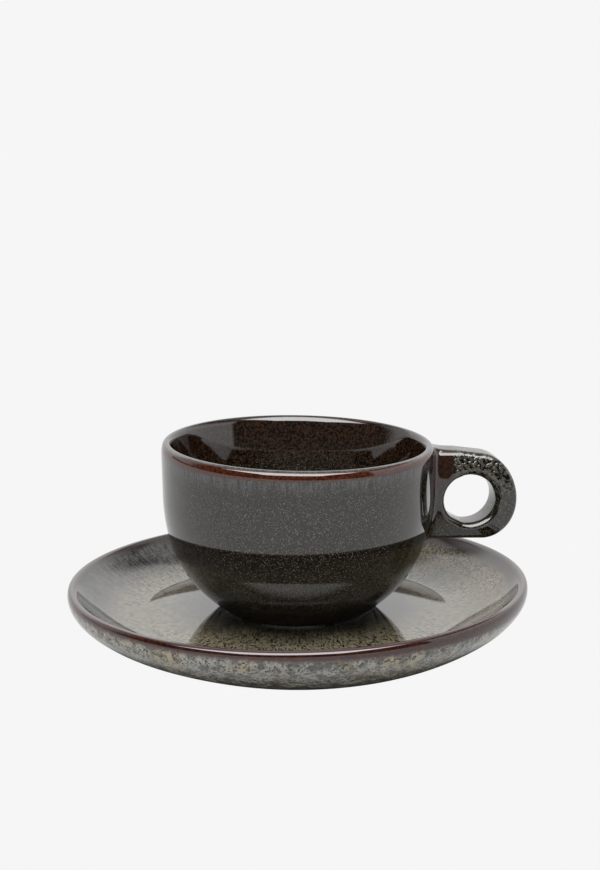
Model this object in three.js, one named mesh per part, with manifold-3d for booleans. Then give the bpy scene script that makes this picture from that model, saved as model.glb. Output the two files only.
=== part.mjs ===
// Low coffee cup with a lug handle, standing on a dished saucer. Glazed stoneware.
// Millimetres, +Z up. The origin is on the table under the saucer's centre,
// and the handle points along +X.

import * as THREE from 'three';
import { mergeVertices } from 'three/addons/utils/BufferGeometryUtils.js';
import Module from 'manifold-3d';

// Saucer
const saucerRadius = 75;
const saucerFootRadius = 46;
const saucerFootWidth = 7;
const saucerRecessDepth = 6.5;
const saucerRecessDraft = 3;
const saucerFloor = 6.5;
const saucerSeatRadius = 26;
const saucerWellRadius = 51.5;
const saucerLipHeight = 20.3;
const saucerLipRadius = 2;
const saucerBellyAngle = THREE.MathUtils.degToRad(10.5);
const saucerWellFall = THREE.MathUtils.degToRad(4);
const saucerWallFootAngle = THREE.MathUtils.degToRad(8);
const saucerWallAngle = THREE.MathUtils.degToRad(46);

// Cup, with heights counted from the cup's own foot
const cupHeight = 55;
const cupRimRadius = 43.8;
const cupWaistRadius = 43.5;
const cupWaistHeight = 39;
const cupWall = 3.75;
const cupWaistWall = 5;
const cupLipRadius = 1.75;
const cupLipDepth = 3;
const cupFloor = 4.4;
const cupFloorRadius = 20;
const cupFootRadius = 24.3;
const cupFootWidth = 3.2;
const cupFootHeight = 1.2;
const cupFootEdge = 0.5;
const cupRecessDepth = 1.6;
const cupBowlAngle = THREE.MathUtils.degToRad(40);
const cupInnerLean = THREE.MathUtils.degToRad(4);
const cupInnerWaistLean = THREE.MathUtils.degToRad(9.5);

// Handle, a flat lug with an oval finger hole
const handleReach = 71.9;
const handleHeight = 28.8;
const handleThickness = 13.5;
const handleBelowRim = 0.45;
const handleEndDepth = 11.7;
const handleEndWall = 6.85;
const handleDroop = THREE.MathUtils.degToRad(5.6);
const handleEdge = 1.5;
const fingerHoleHeight = 15.7;
const fingerHoleDrop = 0.9;
const handleFillet = 3;
const slipGap = 0.3;
const rootInset = 0.4;

// How far each curve holds the direction that it leaves or arrives in, as a share of its run
const bellyHold = 0.42;
const sideHold = 0.6;
const wallHold = 0.33;
const bowlHold = 0.55;
const waistHold = 0.62;
const basinHold = 0.35;
const floorHold = 0.7;

// Facets
const turnSteps = 64;
const bellySteps = 9;
const dishSteps = 8;
const bowlSteps = 12;
const wallSteps = 4;
const lipSteps = 6;
const endSteps = 20;
const holeSteps = 32;
const edgeSteps = 3;
const filletSteps = 5;

const saucerSeat = saucerRecessDepth + saucerFloor;
const cupFloorHeight = cupRecessDepth + cupFloor;
const cupLipHeight = cupHeight - cupLipRadius;

// The root's fillet ends just under the rim, and the lug droops from there.
// The finger hole lies between the fillet and the lug's end wall.
const handleEndReach = handleReach - handleEndDepth;
const handleRootMiddle = cupHeight - handleBelowRim - handleFillet - handleHeight / 2;
const handleMiddle = handleRootMiddle - (handleEndReach - cupWaistRadius) * Math.tan(handleDroop);
const fingerHoleInner = cupWaistRadius + handleFillet + handleEdge;
const fingerHoleOuter = handleReach - handleEndWall;
const fingerHoleReach = (fingerHoleInner + fingerHoleOuter) / 2;
const fingerHoleMiddle = handleMiddle - fingerHoleDrop;

// Glaze colours
const saucerGlaze = new THREE.MeshStandardMaterial({ color: 0x5a574c, roughness: 0.15, metalness: 0 });
const cupGlaze = new THREE.MeshStandardMaterial({ color: 0x3a362e, roughness: 0.12, metalness: 0 });
const handleGlaze = new THREE.MeshStandardMaterial({ color: 0x3c322a, roughness: 0.12, metalness: 0 });

// A point of a profile: distance from the axis, height.
function at(radius, height) {
  return new THREE.Vector2(radius, height);
}

// A curved stretch that leaves one point along a direction and arrives at another along a second one.
function sweep(from, leave, to, arrive, steps) {
  const first = from.clone().add(leave);
  const second = to.clone().sub(arrive);
  return new THREE.CubicBezierCurve(from, first, second, to).getPoints(steps);
}

// A vector of a given length at an angle above the horizontal.
function slope(angle, length) {
  return at(Math.cos(angle) * length, Math.sin(angle) * length);
}

// A rounded stretch of a lip between two angles, counted from the outward direction.
function lip(centre, width, height, start, end) {
  return new THREE.EllipseCurve(centre.x, centre.y, width, height, start, end).getPoints(lipSteps);
}

// The solid that a closed profile sweeps round the Z axis.
function turned(profile) {
  return new THREE.LatheGeometry(profile, turnSteps).rotateX(Math.PI / 2);
}

// The saucer's profile: recess, foot ring, belly, lip, inner wall, and a floor that rises to the cup's seat.
function saucerProfile() {
  const footInner = saucerFootRadius - saucerFootWidth;
  const rise = saucerRadius - saucerFootRadius;
  const lipCentre = at(saucerRadius - saucerLipRadius, saucerLipHeight);
  const belly = sweep(
    at(saucerFootRadius, 0), slope(saucerBellyAngle, bellyHold * rise),
    at(saucerRadius, saucerLipHeight), at(0, sideHold * saucerLipHeight), bellySteps,
  );
  const rim = lip(lipCentre, saucerLipRadius, saucerLipRadius, 0, Math.PI / 2 + saucerWallAngle);
  const rimEnd = rim[rim.length - 1];
  const wellFall = (saucerWellRadius - saucerSeatRadius) * Math.tan(saucerWellFall);
  const wellEdge = at(saucerWellRadius, saucerSeat - wellFall);
  const dishHold = wallHold * rimEnd.distanceTo(wellEdge);
  const wall = sweep(
    rimEnd, slope(saucerWallAngle, -dishHold),
    wellEdge, slope(saucerWallFootAngle, -dishHold), dishSteps,
  );
  return [
    at(0, saucerRecessDepth),
    at(footInner - saucerRecessDraft, saucerRecessDepth),
    at(footInner, 0),
    ...belly,
    ...rim.slice(1),
    ...wall.slice(1),
    at(saucerSeatRadius, saucerSeat),
    at(0, saucerSeat),
  ];
}

// The cup's outer side, from the foot's lower edge up to the start of the lip, widened by a gap.
function cupOuter(gap) {
  const bowlReach = cupWaistRadius - cupFootRadius;
  const bowl = sweep(
    at(cupFootRadius + gap, cupFootHeight), slope(cupBowlAngle, bowlHold * bowlReach),
    at(cupWaistRadius + gap, cupWaistHeight), at(0, waistHold * cupWaistHeight), bowlSteps,
  );
  return [
    at(cupFootRadius - cupFootEdge + gap, 0),
    at(cupFootRadius + gap, cupFootEdge),
    ...bowl,
    at(cupRimRadius + gap, cupLipHeight),
  ];
}

// The cup's profile: foot recess, outer side, lip, inner wall and rounded floor.
function cupProfile() {
  const footInner = cupFootRadius - cupFootWidth;
  const crown = cupRimRadius - cupLipRadius;
  const outerLip = lip(at(crown, cupLipHeight), cupLipRadius, cupLipRadius, 0, Math.PI / 2);
  const innerLip = lip(
    at(crown, cupHeight - cupLipDepth), cupWall - cupLipRadius, cupLipDepth, Math.PI / 2, Math.PI - cupInnerLean,
  );
  const innerTop = innerLip[innerLip.length - 1];
  const innerWaist = at(cupWaistRadius - cupWaistWall, cupWaistHeight);
  const innerHold = wallHold * innerTop.distanceTo(innerWaist);
  const innerWall = sweep(
    innerTop, slope(Math.PI / 2 - cupInnerLean, -innerHold),
    innerWaist, slope(Math.PI / 2 - cupInnerWaistLean, -innerHold), wallSteps,
  );
  const innerDepth = cupWaistHeight - cupFloorHeight;
  const innerBowl = sweep(
    innerWaist, slope(Math.PI / 2 - cupInnerWaistLean, -basinHold * innerDepth),
    at(cupFloorRadius, cupFloorHeight), at(-floorHold * (innerWaist.x - cupFloorRadius), 0), bowlSteps,
  );
  return [
    at(0, cupRecessDepth),
    at(footInner - cupFootEdge, cupRecessDepth),
    at(footInner, 0),
    ...cupOuter(0),
    ...outerLip.slice(1),
    ...innerLip.slice(1),
    ...innerWall.slice(1),
    ...innerBowl.slice(1),
    at(0, cupFloorHeight),
  ];
}

// The cup's outer radius at a height, read off its profile and its lip.
function cupRadiusAt(height) {
  if (height > cupLipHeight) {
    const drop = Math.min(height - cupLipHeight, cupLipRadius);
    return cupRimRadius - cupLipRadius + Math.sqrt(cupLipRadius ** 2 - drop ** 2);
  }
  const outer = cupOuter(0);
  const above = Math.max(1, outer.findIndex((point) => point.y >= height));
  const low = outer[above - 1];
  const high = outer[above];
  return THREE.MathUtils.mapLinear(height, low.y, high.y, low.x, high.x);
}

const wasm = await Module();
wasm.setup();

// A closed geometry as a solid for joining and cutting.
function solid(geometry) {
  const bare = geometry.clone();
  bare.deleteAttribute('normal');
  bare.deleteAttribute('uv');
  const merged = mergeVertices(bare);
  const corners = merged.index.array;
  const kept = [];
  for (let i = 0; i < corners.length; i += 3) {
    const [a, b, c] = corners.subarray(i, i + 3);
    if (a !== b && b !== c && c !== a) kept.push(a, b, c);
  }
  return new wasm.Manifold(new wasm.Mesh({
    numProp: 3,
    vertProperties: new Float32Array(merged.attributes.position.array),
    triVerts: new Uint32Array(kept),
  }));
}

// A solid as a geometry with flat facets.
function faceted(body) {
  const mesh = body.getMesh();
  const geometry = new THREE.BufferGeometry();
  geometry.setAttribute('position', new THREE.BufferAttribute(mesh.vertProperties, 3));
  geometry.setIndex(new THREE.BufferAttribute(mesh.triVerts, 1));
  const flat = geometry.toNonIndexed();
  flat.computeVertexNormals();
  return flat;
}

// The lug: straight top and bottom, a rounded end and an oval hole, with all edges rounded.
// It is drawn round the centre of its end, which is where it droops about.
function lugPlate() {
  const half = handleHeight / 2;
  const root = cupRadiusAt(handleMiddle) - cupWall - handleEndReach;
  const outline = new THREE.Shape([
    at(root, half),
    at(root, -half),
    ...new THREE.EllipseCurve(0, 0, handleEndDepth, half, -Math.PI / 2, Math.PI / 2).getPoints(endSteps),
  ]);
  const hole = new THREE.EllipseCurve(
    fingerHoleReach - handleEndReach, fingerHoleMiddle - handleMiddle,
    fingerHoleOuter - fingerHoleReach, fingerHoleHeight / 2,
  );
  outline.holes.push(new THREE.Path(hole.getPoints(holeSteps).slice(0, -1)));
  const depth = handleThickness - 2 * handleEdge;
  const plate = new THREE.ExtrudeGeometry(outline, {
    depth,
    bevelThickness: handleEdge,
    bevelSize: handleEdge,
    bevelOffset: -handleEdge,
    bevelSegments: edgeSteps,
  });
  plate.translate(0, 0, -depth / 2).rotateZ(-handleDroop).rotateX(Math.PI / 2);
  return plate.translate(handleEndReach, 0, handleMiddle);
}

// One ring of the handle's root: the lug's section, swollen all round,
// laid at a distance from the cup's curved wall.
function rootRing(distance, swell) {
  const half = at(handleThickness / 2, handleHeight / 2);
  const round = handleEdge + swell;
  const ring = [];
  for (const [side, up, turn] of [[1, 1, 0], [-1, 1, 1], [-1, -1, 2], [1, -1, 3]]) {
    for (let i = 0; i <= edgeSteps; i += 1) {
      const angle = (turn + i / edgeSteps) * Math.PI / 2;
      const y = side * (half.x - handleEdge) + round * Math.cos(angle);
      const z = handleRootMiddle + up * (half.y - handleEdge) + round * Math.sin(angle);
      const wall = Math.sqrt(cupRadiusAt(z) ** 2 - y ** 2);
      ring.push(new THREE.Vector3(wall + distance, y, z));
    }
  }
  return ring;
}

// The flared root: rings that follow the hollow of the fillet from the wall to the lug.
function lugRoot() {
  const rings = [rootRing(-cupWall / 2, handleFillet)];
  for (let i = 0; i < filletSteps; i += 1) {
    const angle = (i / filletSteps) * Math.PI / 2;
    rings.push(rootRing(handleFillet * (1 - Math.cos(angle)), handleFillet * (1 - Math.sin(angle))));
  }
  rings.push(rootRing(handleFillet, -rootInset));
  const count = rings[0].length;
  const points = rings.flat();
  const corners = [];
  for (let k = 0; k + 1 < rings.length; k += 1) {
    for (let i = 0; i < count; i += 1) {
      const a = k * count + i;
      const b = k * count + ((i + 1) % count);
      corners.push(a, b, a + count, b, b + count, a + count);
    }
  }
  const last = (rings.length - 1) * count;
  for (let i = 1; i + 1 < count; i += 1) {
    corners.push(0, i + 1, i);
    corners.push(last, last + i, last + i + 1);
  }
  const root = new THREE.BufferGeometry().setFromPoints(points);
  return root.setIndex(corners);
}

// The handle: lug and root joined, then cut back from the cup's wall.
function handleGeometry() {
  const wallCut = turned([
    at(0, 0),
    ...cupOuter(slipGap),
    at(cupRimRadius + slipGap, cupHeight),
    at(0, cupHeight),
  ]);
  return faceted(solid(lugPlate()).add(solid(lugRoot())).subtract(solid(wallCut)));
}

const saucer = new THREE.Mesh(turned(saucerProfile()), saucerGlaze);
saucer.name = 'saucer';

const cupBody = new THREE.Mesh(turned(cupProfile()), cupGlaze);
cupBody.name = 'cup_body';

const cupHandle = new THREE.Mesh(handleGeometry(), handleGlaze);
cupHandle.name = 'cup_handle';

const cup = new THREE.Group();
cup.position.z = saucerSeat;
cup.add(cupBody, cupHandle);

const cupAndSaucer = new THREE.Group();
cupAndSaucer.add(saucer, cup);

export default cupAndSaucer;
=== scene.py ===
import math

import bmesh
import bpy
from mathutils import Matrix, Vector


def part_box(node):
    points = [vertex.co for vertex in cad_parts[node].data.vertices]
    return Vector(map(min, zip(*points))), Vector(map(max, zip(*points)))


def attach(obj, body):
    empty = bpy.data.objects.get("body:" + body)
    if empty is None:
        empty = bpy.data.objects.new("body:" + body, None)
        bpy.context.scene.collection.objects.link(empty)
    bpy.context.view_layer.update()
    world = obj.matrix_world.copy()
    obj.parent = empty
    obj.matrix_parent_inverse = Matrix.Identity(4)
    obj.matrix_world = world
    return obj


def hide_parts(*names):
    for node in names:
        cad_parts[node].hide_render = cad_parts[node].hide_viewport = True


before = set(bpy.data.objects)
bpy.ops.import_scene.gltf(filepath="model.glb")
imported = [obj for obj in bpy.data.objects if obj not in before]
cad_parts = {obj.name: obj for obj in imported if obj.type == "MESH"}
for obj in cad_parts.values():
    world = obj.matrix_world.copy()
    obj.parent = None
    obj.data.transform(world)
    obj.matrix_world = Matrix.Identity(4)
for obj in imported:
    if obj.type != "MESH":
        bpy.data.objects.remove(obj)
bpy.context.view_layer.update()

# Saucer: one thick dish of stoneware clay, shaped on a turning wheel and trimmed to a flat foot ring.
# Its floor is slightly domed under the cup, and a dished wall rises from it to a fat round lip.
# It is dipped in a glossy iron glaze that runs dark inside, grey-green outside and rust on the lip.
mm = 0.001
weld = 0.001 * mm

saucer_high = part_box("saucer")[1]
saucer_radius = saucer_high[0]
saucer_height = saucer_high[2]
saucer_lip_easy = 4.5 * mm
saucer_lip_tight = 1.4 * mm
lip_turn = math.radians(18.0)
saucer_lip_inner_turn = math.radians(60.0)
lip_easy_steps = 8
lip_tight_steps = 10
saucer_tilt = math.radians(0.95)
saucer_tilt_height = 16.0 * mm
saucer_tilt_reach = 18.0 * mm
saucer_foot_radius = 46.0 * mm
saucer_foot_width = 7.0 * mm
saucer_foot_edge = 0.7 * mm
saucer_foot_rise = 0.1 * saucer_foot_edge
saucer_recess_depth = 6.5 * mm
saucer_recess_draft = 3.0 * mm
saucer_seat_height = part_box("cup_body")[0][2]
saucer_seat_radius = 26.0 * mm
saucer_seat_hold = 5.0 * mm
saucer_floor_radius = 51.5 * mm
saucer_floor_fall = math.radians(4.0)
saucer_wall_foot_angle = math.radians(8.0)
saucer_wall_lip_angle = math.radians(46.0)
saucer_belly_angle = math.radians(18.0)
saucer_belly_hold = 0.42
saucer_belly_steps = 28
saucer_wall_steps = 24
saucer_floor_steps = 12
saucer_turns = 192


def at(radius, height):
    """A point of a profile: distance from the turning axis, height."""
    return Vector((radius, height))


def slope(angle, length):
    """A step of a given length at an angle above the horizontal."""
    return at(math.cos(angle), math.sin(angle)) * length


def sweep(start, leave, end, arrive, steps):
    """A curved stretch that leaves one point along a step and arrives at another along a second one."""
    first = start + leave
    second = end - arrive
    points = []
    for i in range(steps + 1):
        t = i / steps
        s = 1 - t
        points.append(start * s**3 + first * (3 * s * s * t) + second * (3 * s * t * t) + end * t**3)
    return points


def arc(centre, radius, start, end, steps):
    """A round stretch from one angle to another, counted from the outward direction."""
    return [centre + slope(start + (end - start) * i / steps, radius) for i in range(steps + 1)]


def lip_side(crown, easy, tight, turn, rise):
    """One side of a lip, up to its crown: an easy curve from a steepness, and a tight one from another on."""
    middle = crown - at(0, tight)
    return [
        *arc(middle - slope(turn, easy - tight), easy, rise, turn, lip_easy_steps),
        *arc(middle, tight, turn, math.pi / 2, lip_tight_steps)[1:],
    ]


def lip_over(crown, outer, inner):
    """A whole lip from its outer side over its crown to the inner wall."""
    far = [at(2 * crown.x - point.x, point.y) for point in lip_side(crown, *inner)]
    return lip_side(crown, *outer) + far[-2::-1]


def turned_piece(name, profile, turns):
    """Pulls a profile out of one point, spins it round the axis and closes the seam and the poles."""
    bpy.ops.object.select_all(action="DESELECT")
    bpy.ops.mesh.primitive_plane_add(size=10 * mm, location=(0, 0, 0))
    piece = bpy.context.object
    piece.name = name
    piece.data.name = name
    bpy.ops.object.mode_set(mode="EDIT")
    bpy.ops.mesh.select_all(action="SELECT")
    bpy.ops.mesh.merge(type="CENTER")
    bpy.ops.transform.translate(value=(profile[0].x, 0, profile[0].y))
    for near, far in zip(profile, profile[1:]):
        step = far - near
        bpy.ops.mesh.extrude_vertices_move(TRANSFORM_OT_translate={"value": (step.x, 0, step.y)})
    bpy.ops.mesh.select_all(action="SELECT")
    bpy.ops.mesh.spin(steps=turns, angle=math.tau, center=(0, 0, 0), axis=(0, 0, 1))
    bpy.ops.mesh.select_all(action="SELECT")
    bpy.ops.mesh.remove_doubles(threshold=weld)
    bpy.ops.mesh.normals_make_consistent(inside=False)
    bpy.ops.object.mode_set(mode="OBJECT")
    bpy.ops.object.shade_smooth()
    return piece


def settle(piece, height, tilt, reach):
    """Tips a piece sideways above a height, as clay settles in the kiln, and eases that out below it."""
    bpy.ops.object.mode_set(mode="EDIT")
    bpy.ops.mesh.select_all(action="DESELECT")
    grown = bmesh.from_edit_mesh(piece.data)
    for vertex in grown.verts:
        vertex.select = vertex.co.z > height
    grown.select_flush_mode()
    bmesh.update_edit_mesh(piece.data)
    bpy.ops.transform.rotate(
        value=tilt, orient_axis="Y", orient_type="GLOBAL", center_override=(0, 0, height),
        use_proportional_edit=True, proportional_edit_falloff="SMOOTH", proportional_size=reach,
    )
    bpy.ops.object.mode_set(mode="OBJECT")


class Value:
    """An output of a shader node, with which sums are written as sums."""

    def __init__(self, socket):
        self.socket = socket

    def node(self, kind, settings, inputs, output=0):
        """Adds a node with its settings, and the values or links of its sockets."""
        tree = self.socket.id_data
        made = tree.nodes.new(kind)
        for key, setting in settings.items():
            setattr(made, key, setting)
        for key, value in inputs.items():
            if isinstance(value, Value):
                tree.links.new(value.socket, made.inputs[key])
            else:
                made.inputs[key].default_value = value
        return Value(made.outputs[output])

    def math(self, operation, first, second):
        """Adds a sum of two values."""
        return self.node("ShaderNodeMath", {"operation": operation}, {0: first, 1: second})

    def __add__(self, other):
        return self.math("ADD", self, other)

    def __radd__(self, other):
        return self.math("ADD", other, self)

    def __sub__(self, other):
        return self.math("SUBTRACT", self, other)

    def __rsub__(self, other):
        return self.math("SUBTRACT", other, self)

    def __mul__(self, other):
        return self.math("MULTIPLY", self, other)

    def __rmul__(self, other):
        return self.math("MULTIPLY", other, self)

    def __truediv__(self, other):
        return self.math("DIVIDE", self, other)

    def __pow__(self, other):
        return self.math("POWER", self, other)

    def ramp(self, low, high):
        """0 below low, 1 above high, eased between; low may be the larger one."""
        settings = {"interpolation_type": "SMOOTHSTEP"}
        return self.node("ShaderNodeMapRange", settings, {"Value": self, "From Min": low, "From Max": high})

    def edge(self, blotches, wander, start, end):
        """0 before an edge and 1 past it. The edge goes from start to end and wanders with blotches."""
        return (self + blotches * wander).ramp(start, end)

    def mix(self, first, second):
        """first where this is 0, second where it is 1. Both are colours."""
        inputs = {0: self}
        for key, colour in ((6, first), (7, second)):
            inputs[key] = colour if isinstance(colour, Value) else (*colour, 1.0)
        return self.node("ShaderNodeMix", {"data_type": "RGBA"}, inputs, 2)

    def noise(self, scale, detail=2.0, roughness=0.5):
        """Smooth random blotches at this place, from 0 to 1."""
        inputs = {"Vector": self, "Scale": scale, "Detail": detail, "Roughness": roughness}
        return self.node("ShaderNodeTexNoise", {}, inputs)

    def stretched(self, along, across, up):
        """This place with its axes scaled, so that a pattern gets long or short along them."""
        return self.node("ShaderNodeMapping", {}, {"Vector": self, "Scale": (along, across, up)})


glaze_index = 1.7


def glaze(name):
    """A new glossy glaze, its place on the piece, and its shader."""
    made = bpy.data.materials.new(name)
    made.use_nodes = True
    shader = made.node_tree.nodes["Principled BSDF"]
    shader.inputs["IOR"].default_value = glaze_index
    coordinates = made.node_tree.nodes.new("ShaderNodeTexCoord")
    return made, Value(coordinates.outputs["Object"]), shader


def fire(shader, **finish):
    """Feeds a worked-out finish into a shader."""
    tree = shader.id_data
    for key, value in finish.items():
        socket = shader.inputs[key.replace("_", " ")]
        if isinstance(value, Value):
            tree.links.new(value.socket, socket)
        else:
            socket.default_value = value


saucer_foot_inner = saucer_foot_radius - saucer_foot_width
saucer_lip_width = saucer_lip_easy - (saucer_lip_easy - saucer_lip_tight) * math.cos(lip_turn)
saucer_rise = saucer_radius - saucer_foot_radius
saucer_belly_start = at(saucer_foot_radius, saucer_foot_rise)
saucer_floor_edge = at(
    saucer_floor_radius,
    saucer_seat_height - (saucer_floor_radius - saucer_seat_radius) * math.tan(saucer_floor_fall),
)
saucer_lip = lip_over(
    at(saucer_radius - saucer_lip_width, saucer_height),
    (saucer_lip_easy, saucer_lip_tight, lip_turn, 0),
    (saucer_lip_easy, saucer_lip_tight, saucer_lip_inner_turn, math.pi / 2 - saucer_wall_lip_angle),
)
saucer_wall_reach = (saucer_lip[-1] - saucer_floor_edge).length / 3

saucer_profile = [
    at(0, saucer_recess_depth),
    at(saucer_foot_inner - saucer_recess_draft, saucer_recess_depth),
    at(saucer_foot_inner - saucer_foot_edge, saucer_foot_edge),
    at(saucer_foot_inner, 0),
    at(saucer_foot_radius - saucer_foot_edge, 0),
    *sweep(
        saucer_belly_start, slope(saucer_belly_angle, saucer_belly_hold * saucer_rise),
        saucer_lip[0], at(0, saucer_belly_hold * saucer_lip[0].y), saucer_belly_steps,
    ),
    *saucer_lip[1:],
    *sweep(
        saucer_lip[-1], slope(saucer_wall_lip_angle, -saucer_wall_reach),
        saucer_floor_edge, slope(saucer_wall_foot_angle, -saucer_wall_reach), saucer_wall_steps,
    )[1:],
    *sweep(
        saucer_floor_edge, slope(math.pi - saucer_floor_fall, saucer_seat_hold),
        at(saucer_seat_radius, saucer_seat_height), at(-saucer_seat_hold, 0), saucer_floor_steps,
    )[1:],
    at(0, saucer_seat_height),
]
saucer = turned_piece("saucer_dish", saucer_profile, saucer_turns)
settle(saucer, saucer_tilt_height, saucer_tilt, saucer_tilt_reach)


def flow_of(place):
    """Across, ahead, up and out of a place, and the place as the melted glaze runs: alike down one side."""
    split = place.node("ShaderNodeSeparateXYZ", {}, {0: place}).socket.node.outputs
    x, y, z = (Value(socket) for socket in split)
    out = (x * x + y * y) ** 0.5
    return x, y, z, out, place.node("ShaderNodeCombineXYZ", {}, {0: x / out, 1: y / out, 2: z})


well_colours = (0.0004, 0.0004, 0.0003), (0.100, 0.088, 0.058)
well_fleck = (0.120, 0.100, 0.060)
# Painted shade: a near-black floor round and under the cup's foot, standing in for the cup's shadow there.
painted_shade_colours = (0.0008, 0.0008, 0.0006), (0.0130, 0.0115, 0.0080)
tan_colours = (0.001, 0.001, 0.0006), (0.120, 0.086, 0.036)
grey_colours = (0.004, 0.004, 0.0035), (0.054, 0.051, 0.045)
cool_colours = (0.036, 0.037, 0.034), (0.180, 0.176, 0.152)
warm_colours = (0.054, 0.046, 0.030), (0.205, 0.172, 0.112)
# Painted light: the lower belly gets a paler copy of the outside's blotches, standing in for light falling on
# it.
painted_light_colours = (0.070, 0.066, 0.054), (0.300, 0.280, 0.225)
speck_colour = (0.006, 0.005, 0.004)
blush_colour = (0.046, 0.030, 0.029)
inner_blush_colour = (0.020, 0.013, 0.011)
saucer_rust = (0.007, 0.0013, 0.0007), (0.026, 0.006, 0.0025)
# An edge is how far it wanders, where it starts and where it ends. A fade doesn't wander.
painted_shade_edge = 12 * mm, 34 * mm, 52 * mm
tan_edge = 50 * mm, 0 * mm, 50 * mm
slope_edge = 8 * mm, 60 * mm, 70 * mm
inner_blush_edge = 2 * mm, 19.5 * mm, 22.2 * mm
painted_light_edge = 3 * mm, 15 * mm, 8 * mm
outer_blush_edge = 2 * mm, 18.8 * mm, 20.6 * mm
saucer_rust_edge = 1.2 * mm, 19.5 * mm, 20.5 * mm
saucer_rust_fade = 73.8 * mm, 74.3 * mm
inner_side_fade = 74 * mm, 72 * mm
wall_middle_slope = 0.463
wall_middle_drop = 16.3 * mm
wall_middle_fade = -0.5 * mm, 0.5 * mm
saucer_gloss = 0.06
saucer_relief = {"Strength": 0.25, "Distance": 0.2 * mm}

saucer_glaze, place, shader = glaze("saucer iron glaze")
saucer.data.materials.append(saucer_glaze)
x, y, z, out, flow = flow_of(place)
patches = place.noise(scale=80, detail=2)
clouds = place.noise(scale=300, detail=3, roughness=0.6)
grain = place.noise(scale=1050, detail=2, roughness=0.6)
flecks = place.noise(scale=2000, detail=1)
runs = flow.stretched(1, 1, 2).noise(scale=60, detail=3, roughness=0.6)
drift = place.node("ShaderNodeCombineXYZ", {}, {0: x / out, 1: y / out, 2: out * 8})
spots = drift.noise(scale=70, detail=3, roughness=0.65)

well = spots.ramp(0.45, 0.50).mix(*well_colours)
well = flecks.ramp(0.56, 0.66).mix(well, well_fleck)
# Painted shade: the floor under and round the cup's foot is darkened, as if in the cup's shadow.
painted_shade = spots.ramp(0.45, 0.55).mix(*painted_shade_colours)
well = out.edge(patches, *painted_shade_edge).mix(painted_shade, well)
slope_tan = grain.ramp(0.44, 0.54).mix(*tan_colours)
slope_grey = (runs * 0.35 + spots * 0.5 + grain * 0.35).ramp(0.50, 0.70).mix(*grey_colours)
slope_side = x.edge(patches, *tan_edge).mix(slope_grey, slope_tan)
inside = out.edge(clouds, *slope_edge).mix(well, slope_side)
inner_blush = z.edge(runs, *inner_blush_edge)
inside = inner_blush.mix(inside, inner_blush_colour)

blotches = clouds.ramp(0.36, 0.60)
outside = patches.ramp(0.46, 0.66).mix(blotches.mix(*cool_colours), blotches.mix(*warm_colours))
# Painted light: below about 8 to 15 mm the belly takes the paler blotches, as if lit more.
outside = z.edge(patches, *painted_light_edge).mix(outside, blotches.mix(*painted_light_colours))
outside = grain.ramp(0.48, 0.38).mix(outside, speck_colour)
outer_blush = z.edge(runs, *outer_blush_edge)
outside = outer_blush.mix(outside, blush_colour)

above_middle = z - out * wall_middle_slope + wall_middle_drop
inner_side = above_middle.ramp(*wall_middle_fade) * out.ramp(*inner_side_fade)
body = inner_side.mix(outside, inside)
lip = z.edge(runs, *saucer_rust_edge) * out.ramp(*saucer_rust_fade)
body = lip.mix(body, grain.ramp(0.38, 0.62).mix(*saucer_rust))
rough_side = (1 - inner_side) * (1 - outer_blush)
relief = place.node("ShaderNodeBump", {}, {"Height": grain.ramp(0.30, 0.70) * rough_side, **saucer_relief})
fire(shader, Base_Color=body, Roughness=saucer_gloss, Normal=relief)

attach(saucer, "saucer")
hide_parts("saucer")

# Cup: a low bowl thrown from the same clay, with a steep waist, a stout wall and a rounded rim.
# It stands loose on the saucer on its own trimmed foot ring and is picked up by the handle.
# The glaze is thick and nearly black on the bowl and breaks to rust where it runs thin over the rim.
cup_low, cup_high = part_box("cup_body")
cup_foot_height = cup_low[2]
cup_height = cup_high[2] - cup_low[2]
cup_rim_radius = cup_high[0]
cup_waist_radius = 43.5 * mm
cup_waist_height = 39.0 * mm
cup_foot_radius = 24.3 * mm
cup_foot_width = 3.2 * mm
cup_foot_rise = 0.3 * mm
cup_foot_edge = 0.15 * mm
cup_foot_corner_in = 0.15 * cup_foot_edge
cup_foot_corner_up = 0.3 * cup_foot_edge
cup_recess_depth = 1.6 * mm
cup_floor_height = 6.0 * mm
cup_floor_radius = 20.0 * mm
cup_waist_wall = 5.9 * mm
cup_bowl_angle = math.radians(40.0)
cup_bowl_hold = 0.55
cup_bowl_steps = 36
cup_waist_hold = 0.62
cup_side_hold = 4.0 * mm
cup_side_steps = 12
cup_inner_hold = 4.4 * mm
cup_inner_steps = 10
cup_basin_hold = 0.35
cup_basin_steps = 30
cup_floor_hold = 0.7
cup_lip_easy = 7.0 * mm
cup_lip_tight = 1.6 * mm
cup_lip_inner_easy = 3.4 * mm
cup_lip_inner_tight = 0.9 * mm
cup_lip_inner_turn = math.radians(44.0)
cup_inner_lean = math.radians(13.0)
cup_waist_lean = math.radians(7.0)
cup_tilt = math.radians(-0.9)
cup_tilt_height = 48.0 * mm
cup_tilt_reach = 20.0 * mm
cup_turns = 192

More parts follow.
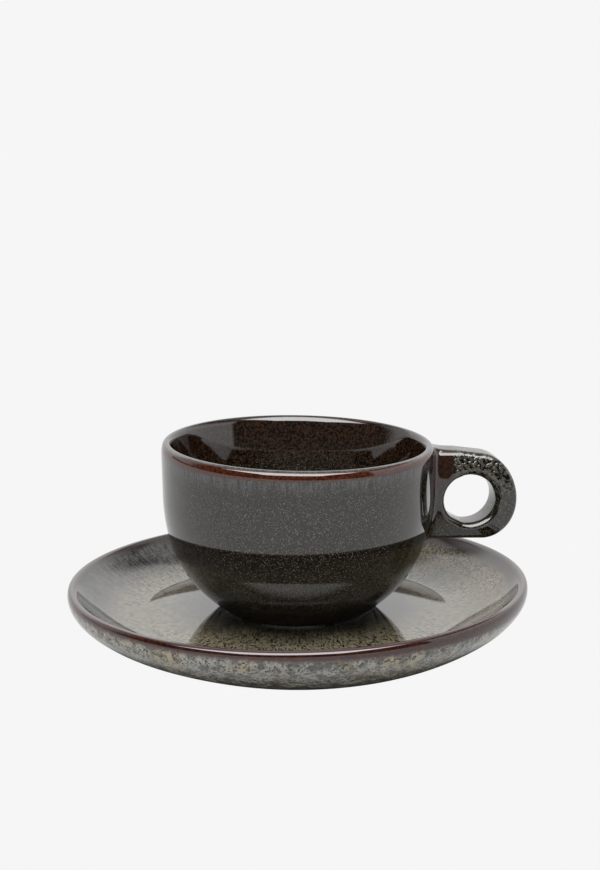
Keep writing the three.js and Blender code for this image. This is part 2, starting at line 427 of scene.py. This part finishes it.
cup_lip_width = cup_lip_easy - (cup_lip_easy - cup_lip_tight) * math.cos(lip_turn)
cup_rim = lip_over(
    at(cup_rim_radius - cup_lip_width, cup_height),
    (cup_lip_easy, cup_lip_tight, lip_turn, 0),
    (cup_lip_inner_easy, cup_lip_inner_tight, cup_lip_inner_turn, cup_inner_lean),
)
cup_bowl_reach = cup_waist_radius - cup_foot_radius
cup_foot_inner = cup_foot_radius - cup_foot_width
cup_waist = at(cup_waist_radius, cup_waist_height)
cup_outer_side = [
    *sweep(
        at(cup_foot_radius, cup_foot_rise), slope(cup_bowl_angle, cup_bowl_hold * cup_bowl_reach),
        cup_waist, at(0, cup_waist_hold * cup_waist_height), cup_bowl_steps,
    ),
    *sweep(cup_waist, at(0, cup_side_hold), cup_rim[0], at(0, cup_side_hold), cup_side_steps)[1:],
]
cup_inner_top = cup_rim[-1]
cup_inner_waist = at(cup_waist_radius - cup_waist_wall, cup_waist_height)
cup_inner_depth = cup_waist_height - cup_floor_height
cup_floor_reach = cup_inner_waist.x - cup_floor_radius
cup_profile = [
    at(0, cup_recess_depth),
    at(cup_foot_inner - cup_foot_edge, cup_recess_depth),
    at(cup_foot_inner, cup_foot_edge),
    at(cup_foot_inner + cup_foot_edge, 0),
    at(cup_foot_radius - cup_foot_edge, 0),
    at(cup_foot_radius - cup_foot_corner_in, cup_foot_corner_up),
    at(cup_foot_radius, cup_foot_edge),
    *cup_outer_side,
    *cup_rim[1:],
    *sweep(
        cup_inner_top, slope(math.pi / 2 - cup_inner_lean, -cup_inner_hold),
        cup_inner_waist, slope(math.pi / 2 - cup_waist_lean, -cup_inner_hold), cup_inner_steps,
    )[1:],
    *sweep(
        cup_inner_waist, slope(math.pi / 2 - cup_waist_lean, -cup_basin_hold * cup_inner_depth),
        at(cup_floor_radius, cup_floor_height), at(-cup_floor_hold * cup_floor_reach, 0), cup_basin_steps,
    )[1:],
    at(0, cup_floor_height),
]
cup_profile = [point + at(0, cup_foot_height) for point in cup_profile]
cup = turned_piece("cup_bowl", cup_profile, cup_turns)
settle(cup, cup_foot_height + cup_tilt_height, cup_tilt, cup_tilt_reach)

ground_colours = (0.0008, 0.0008, 0.0006), (0.0025, 0.0016, 0.0010)
grain_colour = (0.010, 0.008, 0.005)
fleck_colour = (0.048, 0.041, 0.028)
inner_rust = (0.0008, 0.0005, 0.0004), (0.019, 0.0085, 0.0040)
haze_colour = (0.048, 0.048, 0.052)
haze_share = 0.8
cup_rust = (0.014, 0.0022, 0.0008), (0.042, 0.0100, 0.0032)
outer_fade = 41.8 * mm, 42.6 * mm
inner_rust_edge = 12 * mm, 38 * mm, 56 * mm
haze_fade = 46.5 * mm, 52 * mm
cup_rust_edge = 1.5 * mm, 52.2 * mm, 53.2 * mm
cup_rust_fade = 42.7 * mm, 43.2 * mm
cup_gloss = 0.05


def dark_glaze(name):
    """The cup's nearly black glaze, its colour and the blotches that it is worked out with."""
    made, place, shader = glaze(name)
    z, out, flow = flow_of(place)[2:]
    clouds = place.noise(scale=160, detail=3, roughness=0.6)
    grain = place.noise(scale=1150, detail=3, roughness=0.65)
    flecks = place.noise(scale=2200, detail=2)
    runs = flow.stretched(1, 1, 2.5).noise(scale=50, detail=3, roughness=0.6)
    body = clouds.ramp(0.40, 0.65).mix(*ground_colours)
    body = grain.ramp(0.48, 0.60).mix(body, grain_colour)
    body = flecks.ramp(0.55, 0.66).mix(body, fleck_colour)
    return made, shader, body, z - cup_foot_height, out, place, grain, runs


cup_glaze, shader, body, height, out, place, grain, runs = dark_glaze("cup iron glaze")
cup.data.materials.append(cup_glaze)
outer = out.ramp(*outer_fade)
inner_thin = height.edge(runs, *inner_rust_edge) * (1 - outer)
body = inner_thin.mix(body, grain.ramp(0.42, 0.60).mix(*inner_rust))
haze = runs.ramp(0.36, 0.66) * height.ramp(*haze_fade) * outer
body = (haze * haze_share).mix(body, haze_colour)
lip = height.edge(runs, *cup_rust_edge) * out.ramp(*cup_rust_fade)
body = lip.mix(body, grain.ramp(0.38, 0.62).mix(*cup_rust))
fire(shader, Base_Color=body, Roughness=cup_gloss)

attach(cup, "cup")
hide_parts("cup_body")

# Handle: a flat lug cut from a slab of the same clay, with an oval finger hole, stuck to the wall with slip.
# Its edges are wiped round with a wet sponge and its root is smoothed into the cup, so no seam shows.
# The glaze lies thin along its top: it breaks to rust by the cup and to pale pebbles further out.
handle_short = 0.5 * mm
handle_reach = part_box("cup_handle")[1][0] - handle_short
handle_height = 28.5 * mm
handle_thickness = 13.5 * mm
handle_below_rim = 3.45 * mm
handle_end_depth = 11.7 * mm
handle_droop = math.radians(5.2)
handle_edge = 1.7 * mm
handle_flare = 3.9
handle_crown = 2.2 * mm
finger_hole_half = at(8.53, 8.0) * mm
finger_hole_reach = 55.95 * mm
finger_hole_middle = 35.05 * mm
finger_hole_edge = 2.9 * mm
finger_hole_root_share = 0.28
fillet_swell = 3.0 * mm
fillet_top_share = 0.4
fillet_reach = 2.2 * mm
fillet_top_reach = 7.5 * mm
fillet_top_power = 8
fillet_sink = 0.01 * mm
root_depth = 1.5 * mm
edge_turn = math.radians(78.0)
lug_top_steps = 10
lug_end_steps = 40
root_steps = 12
edge_steps = 5
face_steps = 8
wall_steps = 3
fillet_steps = 8
mirror_weld = 0.005 * mm

handle_end_reach = handle_reach - handle_end_depth
handle_half = at(handle_thickness, handle_height) / 2
root_middle = cup_height - handle_below_rim - handle_half.y
handle_middle = root_middle - (handle_end_reach - cup_waist_radius) * math.tan(handle_droop)
cup_sag = -cup_rim_radius * math.sin(cup_tilt)
cup_lip_side = cup_rim[1:lip_easy_steps + lip_tight_steps]
cup_side = [point - at(0, cup_sag) for point in cup_outer_side + cup_lip_side]


def cup_radius_at(height):
    """The cup's outer radius at a height above its foot."""
    for low, high in zip(cup_side, cup_side[1:]):
        if low.y <= height <= high.y:
            return low.x + (high.x - low.x) * (height - low.y) / (high.y - low.y)
    return cup_side[-1].x


def off_wall(y, z, distance):
    """A point at a height over the cup's foot and off its wall, measured along the handle."""
    return Vector((math.sqrt(cup_radius_at(z) ** 2 - y**2) + distance, y, z))


def crowned(y, above):
    """A place across the lug, drawn in the more the further it lies above or below the lug's middle."""
    return y * (1 - handle_crown / handle_half.x * (above / handle_half.y) ** 2)


def root_normal(spot):
    """Which way the lug's rounded section faces at a point of its root, across and up."""
    across = abs(spot.y) / crowned(1, spot.z - root_middle) - (handle_half.x - handle_edge)
    up = abs(spot.z - root_middle) - (handle_half.y - handle_edge)
    away = at(max(across, 0), max(up, 0))
    if away.length == 0:
        away = at(1, 0) if across > up else at(0, 1)
    away.normalize()
    return at(math.copysign(away.x, spot.y), math.copysign(away.y, spot.z - root_middle))


def lay_root(spot, share=1.0, swell=0.0, sink=0.0):
    """A point of the root moved to a share of the fillet's reach off the wall, and swollen outwards."""
    away = root_normal(spot)
    swell *= 1 - fillet_top_share * max(away.y, 0)
    reach = fillet_reach + (fillet_top_reach - fillet_reach) * max(away.y, 0) ** fillet_top_power
    return off_wall(spot.y + away.x * swell, spot.z + away.y * swell, reach * share - sink)


def lug_points():
    """The lug's outline from the top of its root round the end to the bottom, each point with its normal."""
    half = handle_half.y
    root = cup_rim_radius + fillet_top_reach - handle_end_reach
    top = [(at(root * (1 - i / lug_top_steps), half), at(0, 1)) for i in range(lug_top_steps)]
    end = []
    for i in range(lug_end_steps + 1):
        angle = math.pi * (0.5 - i / lug_end_steps)
        spot = at(handle_end_depth * math.cos(angle), half * math.sin(angle))
        normal = at(math.cos(angle) / handle_end_depth, math.sin(angle) / half).normalized()
        end.append((spot, normal))
    bottom = [(at(spot.x, -spot.y), -normal) for spot, normal in reversed(top)]
    return top + end + bottom


def lug_middle(x):
    """The height of the drooping lug's middle at a distance from the axis."""
    return handle_middle - (x - handle_end_reach) * math.tan(handle_droop)


def lug_place(spot, y):
    """A point of the drooping lug, from its own plane to its place over the cup's foot."""
    x = handle_end_reach + spot.x
    taller = 1 + handle_flare * max(-spot.x, 0)
    return Vector((x, crowned(y, spot.y), lug_middle(x) + spot.y * taller))


rim_points = lug_points()
edge_inset = handle_edge * (1 - math.cos(edge_turn))
face_front = -handle_half.x


def rim_loop(inset, y):
    """The outline at an inset, with its two ends laid off the cup's wall."""
    loop = [lug_place(spot - normal * inset, y) for spot, normal in rim_points]
    for end in (0, -1):
        loop[end] = lay_root(loop[end])
    return loop


def face_loop(share):
    """A closed loop on the lug's face, from the finger hole's mouth, 0, to the outline and the root, 1."""
    outer = rim_loop(edge_inset, face_front)
    low, high = outer[-1].z, outer[0].z
    for i in range(1, root_steps):
        z = low + (high - low) * i / root_steps
        outer.append(lay_root(Vector((0, crowned(face_front, z - root_middle), z))))
    if share == 1:
        return outer
    inner = hole_loop(finger_hole_edge * (1 - math.cos(edge_turn)), face_front, outer)
    loop = [near.lerp(far, share) for near, far in zip(inner, outer)]
    for point in loop:
        point.y = crowned(face_front, point.z - lug_middle(point.x))
    return loop


def hole_loop(growth, y, outer):
    """An oval round the finger hole, with a point towards each point of a loop outside it."""
    loop = []
    for point in outer:
        towards = at(point.x - finger_hole_reach, point.z - finger_hole_middle).normalized()
        half = finger_hole_half + at(1, 1) * growth * (1 - finger_hole_root_share * max(-towards.x, 0))
        towards /= at(towards.x / half.x, towards.y / half.y).length
        x, z = finger_hole_reach + towards.x, finger_hole_middle + towards.y
        loop.append(Vector((x, crowned(y, z - lug_middle(x)), z)))
    return loop


def pull(mesh, before, after):
    """Extrudes the selected edges and lays each new point from its old place on its new one."""
    bpy.ops.mesh.extrude_edges_move(TRANSFORM_OT_translate={"value": (0, 0, 0)})
    grown = bmesh.from_edit_mesh(mesh)
    for vertex in grown.verts:
        if vertex.select:
            nearest = min(range(len(before)), key=lambda i: (before[i] - vertex.co).length_squared)
            vertex.co = after[nearest]
    bmesh.update_edit_mesh(mesh)


def pick_edges(mesh, wanted):
    """Selects only the open edges of which both ends are wanted."""
    grown = bmesh.from_edit_mesh(mesh)
    for edge in grown.edges:
        edge.select = False
    for edge in grown.edges:
        if edge.is_boundary and all(wanted(vertex.co) for vertex in edge.verts):
            edge.select = True
    grown.select_flush_mode()
    bmesh.update_edit_mesh(mesh)


face_outer = face_loop(1)
bpy.ops.object.select_all(action="DESELECT")
bpy.ops.mesh.primitive_circle_add(vertices=len(face_outer), radius=finger_hole_half.x)
handle = bpy.context.object
handle.name = "cup_lug"
handle.data.name = "cup_lug"
bpy.ops.object.mode_set(mode="EDIT")
bpy.ops.mesh.select_mode(type="EDGE")
bpy.ops.mesh.select_all(action="SELECT")
loop = hole_loop(0, 0, face_outer)
grown = bmesh.from_edit_mesh(handle.data)
for vertex, spot in zip(grown.verts, loop):
    vertex.co = spot
bmesh.update_edit_mesh(handle.data)

mouth_base = face_front + finger_hole_edge * math.sin(edge_turn)
for i in range(edge_steps + 1):
    angle = edge_turn * i / edge_steps
    growth = finger_hole_edge * (1 - math.cos(angle))
    grown_loop = hole_loop(growth, mouth_base - finger_hole_edge * math.sin(angle), face_outer)
    pull(handle.data, loop, grown_loop)
    loop = grown_loop
for i in range(1, face_steps + 1):
    grown_loop = face_loop(i / face_steps)
    pull(handle.data, loop, grown_loop)
    loop = grown_loop

edge_base = face_front + handle_edge * math.sin(edge_turn)
loop = rim_loop(edge_inset, face_front)
pick_edges(handle.data, lambda spot: min((spot - point).length for point in loop) < weld)
for i in range(edge_steps - 1, -1, -1):
    angle = edge_turn * i / edge_steps
    grown_loop = rim_loop(handle_edge * (1 - math.cos(angle)), edge_base - handle_edge * math.sin(angle))
    pull(handle.data, loop, grown_loop)
    loop = grown_loop
for i in range(wall_steps - 1, -1, -1):
    grown_loop = rim_loop(0, edge_base * i / wall_steps)
    pull(handle.data, loop, grown_loop)
    loop = grown_loop

pick_edges(handle.data, lambda spot: (spot - lay_root(spot)).length < weld)
section = [vertex.co.copy() for vertex in bmesh.from_edit_mesh(handle.data).verts if vertex.select]
loop = section
for i in range(1, fillet_steps + 1):
    angle = math.pi / 2 * i / fillet_steps
    swell = fillet_swell * (1 - math.cos(angle))
    rise = math.sin(angle)
    grown_loop = [lay_root(spot, 1 - rise, swell, fillet_sink * rise) for spot in section]
    pull(handle.data, loop, grown_loop)
    loop = grown_loop
pull(handle.data, loop, [spot - Vector((root_depth, 0, 0)) for spot in loop])
bpy.ops.mesh.select_all(action="SELECT")
bpy.ops.transform.translate(value=(0, 0, cup_foot_height))
bpy.ops.object.mode_set(mode="OBJECT")
bpy.ops.object.modifier_add(type="MIRROR")
handle.modifiers["Mirror"].use_axis = (False, True, False)
handle.modifiers["Mirror"].merge_threshold = mirror_weld
bpy.ops.object.modifier_apply(modifier="Mirror")
bpy.ops.object.mode_set(mode="EDIT")
pick_edges(handle.data, lambda spot: True)
bpy.ops.mesh.edge_face_add()
bpy.ops.mesh.select_all(action="SELECT")
bpy.ops.mesh.remove_doubles(threshold=weld)
bpy.ops.mesh.normals_make_consistent(inside=False)
bpy.ops.object.mode_set(mode="OBJECT")
bpy.ops.object.shade_smooth()

handle_rust = (0.0040, 0.0017, 0.0009), (0.0170, 0.0060, 0.0026)
pebble_colours = (0.0006, 0.0006, 0.0004), (0.034, 0.031, 0.022)
pebble_relief = {"Strength": 0.3, "Distance": 0.25 * mm}
handle_rust_edge = 4 * mm, 38.5 * mm, 42.5 * mm
handle_rust_end = 4 * mm, 55 * mm, 51 * mm
pebble_edge = 6 * mm, 37.5 * mm, 41 * mm
pebble_start = 4 * mm, 51.5 * mm, 54.5 * mm

handle_glaze, shader, body, height, out, place, grain, runs = dark_glaze("handle iron glaze")
handle.data.materials.append(handle_glaze)
thin = height.edge(runs, *handle_rust_edge) * out.edge(grain, *handle_rust_end)
body = thin.mix(body, grain.ramp(0.40, 0.58).mix(*handle_rust))
pebbles = place.noise(scale=900, detail=1)
pebbled = height.edge(runs, *pebble_edge) * out.edge(grain, *pebble_start)
body = pebbled.mix(body, pebbles.ramp(0.42, 0.56).mix(*pebble_colours))
relief = place.node("ShaderNodeBump", {}, {"Height": pebbles.ramp(0.30, 0.70) * pebbled, **pebble_relief})
fire(shader, Base_Color=body, Roughness=cup_gloss, Normal=relief)

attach(handle, "cup")
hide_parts("cup_handle")

# Camera: a long lens in front of the cup, a little above it and to its left.
# The handle points to the right from there, and slightly away.
view_target = Vector((0, 0, 30 * mm))
view_distance = 606 * mm
view_azimuth = math.radians(-8.0)
view_elevation = math.radians(15.9)
picture_size = (600, 870)
target_pixel = (297.6, 555.1)
pixels_per_metre = 3062.0
sensor_size = 36.0

toward_camera = Vector((
    math.sin(view_azimuth) * math.cos(view_elevation),
    -math.cos(view_azimuth) * math.cos(view_elevation),
    math.sin(view_elevation),
))
lens = bpy.data.cameras.new("camera")
lens.sensor_width = sensor_size
lens.lens = pixels_per_metre * view_distance * sensor_size / picture_size[1]
lens.shift_x = (picture_size[0] / 2 - target_pixel[0]) / picture_size[1]
lens.shift_y = (target_pixel[1] - picture_size[1] / 2) / picture_size[1]
camera = bpy.data.objects.new("camera", lens)
bpy.context.scene.collection.objects.link(camera)
camera.location = view_target + toward_camera * view_distance
camera.rotation_euler = (-toward_camera).to_track_quat("-Z", "Y").to_euler()
bpy.context.scene.camera = camera

# Studio: a wide pale table before a white backdrop, with one large soft light above the camera.
# A weak light is overhead and another at the left, and the rest of the room is dark.
# The camera sees the table and what lies past it as one even pale ground.
table_size = 60.0
backdrop_low_light = 1.0
backdrop_high_light = 1.6
backdrop_rise = 0.10, 0.55
backdrop_left, backdrop_right = 0.62, -0.42
backdrop_fade = -0.03, 0.03
backdrop_neck = 0.74, 0.36
backdrop_top = 0.80, 0.70
backdrop_top_left, backdrop_top_right = 0.743, 0.866
backdrop_top_fade = -0.06, 0.06
room_light = 0.08
overhead_light = 0.7
overhead_panel = -0.25, 0.90, -0.9, 0.9
softbox_light = 8.0
softbox_panel = -2.40, -0.20, -1.30, 0.95
panel_fade = 0.1
panel_far_fade = 0.4
side_light = 0.8
side_near, side_far = (-0.05, 0.35), (0.65, 0.59)
side_bottom, side_top = (0.02, 0.10), (0.75, 0.55)
table_colour = (0.08, 0.08, 0.08)
# Painted light: to all but the camera the table glows like a lamp, and the glow fades out under the saucer as
# a painted shadow.
table_painted_glow = 0.72
painted_shadow_fade = 58 * mm, 74 * mm
table_seen = 0.92

bpy.ops.object.select_all(action="DESELECT")
bpy.ops.mesh.primitive_plane_add(size=table_size, location=(0, 0, 0))
table = bpy.context.object
table.name = "table"
table_finish = bpy.data.materials.new("table")
table_finish.use_nodes = True
matt = table_finish.node_tree.nodes["Principled BSDF"]
table_place = Value(table_finish.node_tree.nodes.new("ShaderNodeTexCoord").outputs["Object"])
out = flow_of(table_place)[3]
# Painted light and painted shadow: the glow is full out past the saucer and none under it.
painted_glow = out.ramp(*painted_shadow_fade).mix((0, 0, 0), (1, 1, 1))
fire(matt, Base_Color=(*table_colour, 1.0), Roughness=1.0, Specular_IOR_Level=0.0)
fire(matt, Emission_Color=painted_glow, Emission_Strength=table_painted_glow)
seen = table_place.node("ShaderNodeEmission", {}, {"Color": (1, 1, 1, 1), "Strength": table_seen})
path = table_place.node("ShaderNodeLightPath", {}, {}, "Is Camera Ray")
blend = table_place.node("ShaderNodeMixShader", {}, {0: path, 1: Value(matt.outputs[0]), 2: seen})
finish = table_finish.node_tree.nodes["Material Output"]
table_finish.node_tree.links.new(blend.socket, finish.inputs["Surface"])
table.data.materials.append(table_finish)

world = bpy.data.worlds.new("studio")
bpy.context.scene.world = world
world.use_nodes = True
direction = Value(world.node_tree.nodes.new("ShaderNodeTexCoord").outputs["Generated"])


def along(axis):
    """How far the looked-at direction goes along an axis."""
    inputs = {0: direction, 1: axis}
    return direction.node("ShaderNodeVectorMath", {"operation": "DOT_PRODUCT"}, inputs, "Value")


ahead = along((-math.sin(view_azimuth), math.cos(view_azimuth), 0))
right = along((math.cos(view_azimuth), math.sin(view_azimuth), 0))
up = along((0, 0, 1))
level = (ahead * ahead + right * right) ** 0.5
turn = ahead / level
side = right.ramp(-0.01, 0.01)
backdrop_edge = backdrop_left + side * (backdrop_right - backdrop_left)
backdrop_top_edge = backdrop_top_left + side * (backdrop_top_right - backdrop_top_left)
slant_ahead = ahead / up
slant_right = right / up
above = up.ramp(0.0, 0.1)


def panel(near, far, left, right):
    """A rectangle of light overhead, given by how far it reaches for each unit of height."""
    depth = slant_ahead.ramp(near, near + panel_fade) * slant_ahead.ramp(far, far - panel_far_fade)
    width = slant_right.ramp(left, left + panel_fade) * slant_right.ramp(right, right - panel_fade)
    return depth * width * above


low = up.ramp(*backdrop_neck)
wide = (turn - backdrop_edge).ramp(*backdrop_fade) * low
narrow = (turn - backdrop_top_edge).ramp(*backdrop_top_fade) * (1 - low) * up.ramp(*backdrop_top)
backdrop = wide + narrow
backdrop_light = backdrop_low_light + up.ramp(*backdrop_rise) * (backdrop_high_light - backdrop_low_light)
overhead = panel(*overhead_panel)
softbox = panel(*softbox_panel)
left_side = turn.ramp(*side_near) * turn.ramp(*side_far) * (1 - side)
left_side = left_side * up.ramp(*side_bottom) * up.ramp(*side_top)
strength = room_light + backdrop * (backdrop_light - room_light)
strength = strength + overhead * overhead_light + softbox * softbox_light + left_side * side_light
path = direction.node("ShaderNodeLightPath", {}, {}, "Is Camera Ray")
strength = strength + path * (table_seen - strength)
background = world.node_tree.nodes["Background"]
background.inputs["Color"].default_value = (1.0, 1.0, 1.0, 1.0)
world.node_tree.links.new(strength.socket, background.inputs["Strength"])

bpy.context.scene.view_settings.view_transform = "Standard"
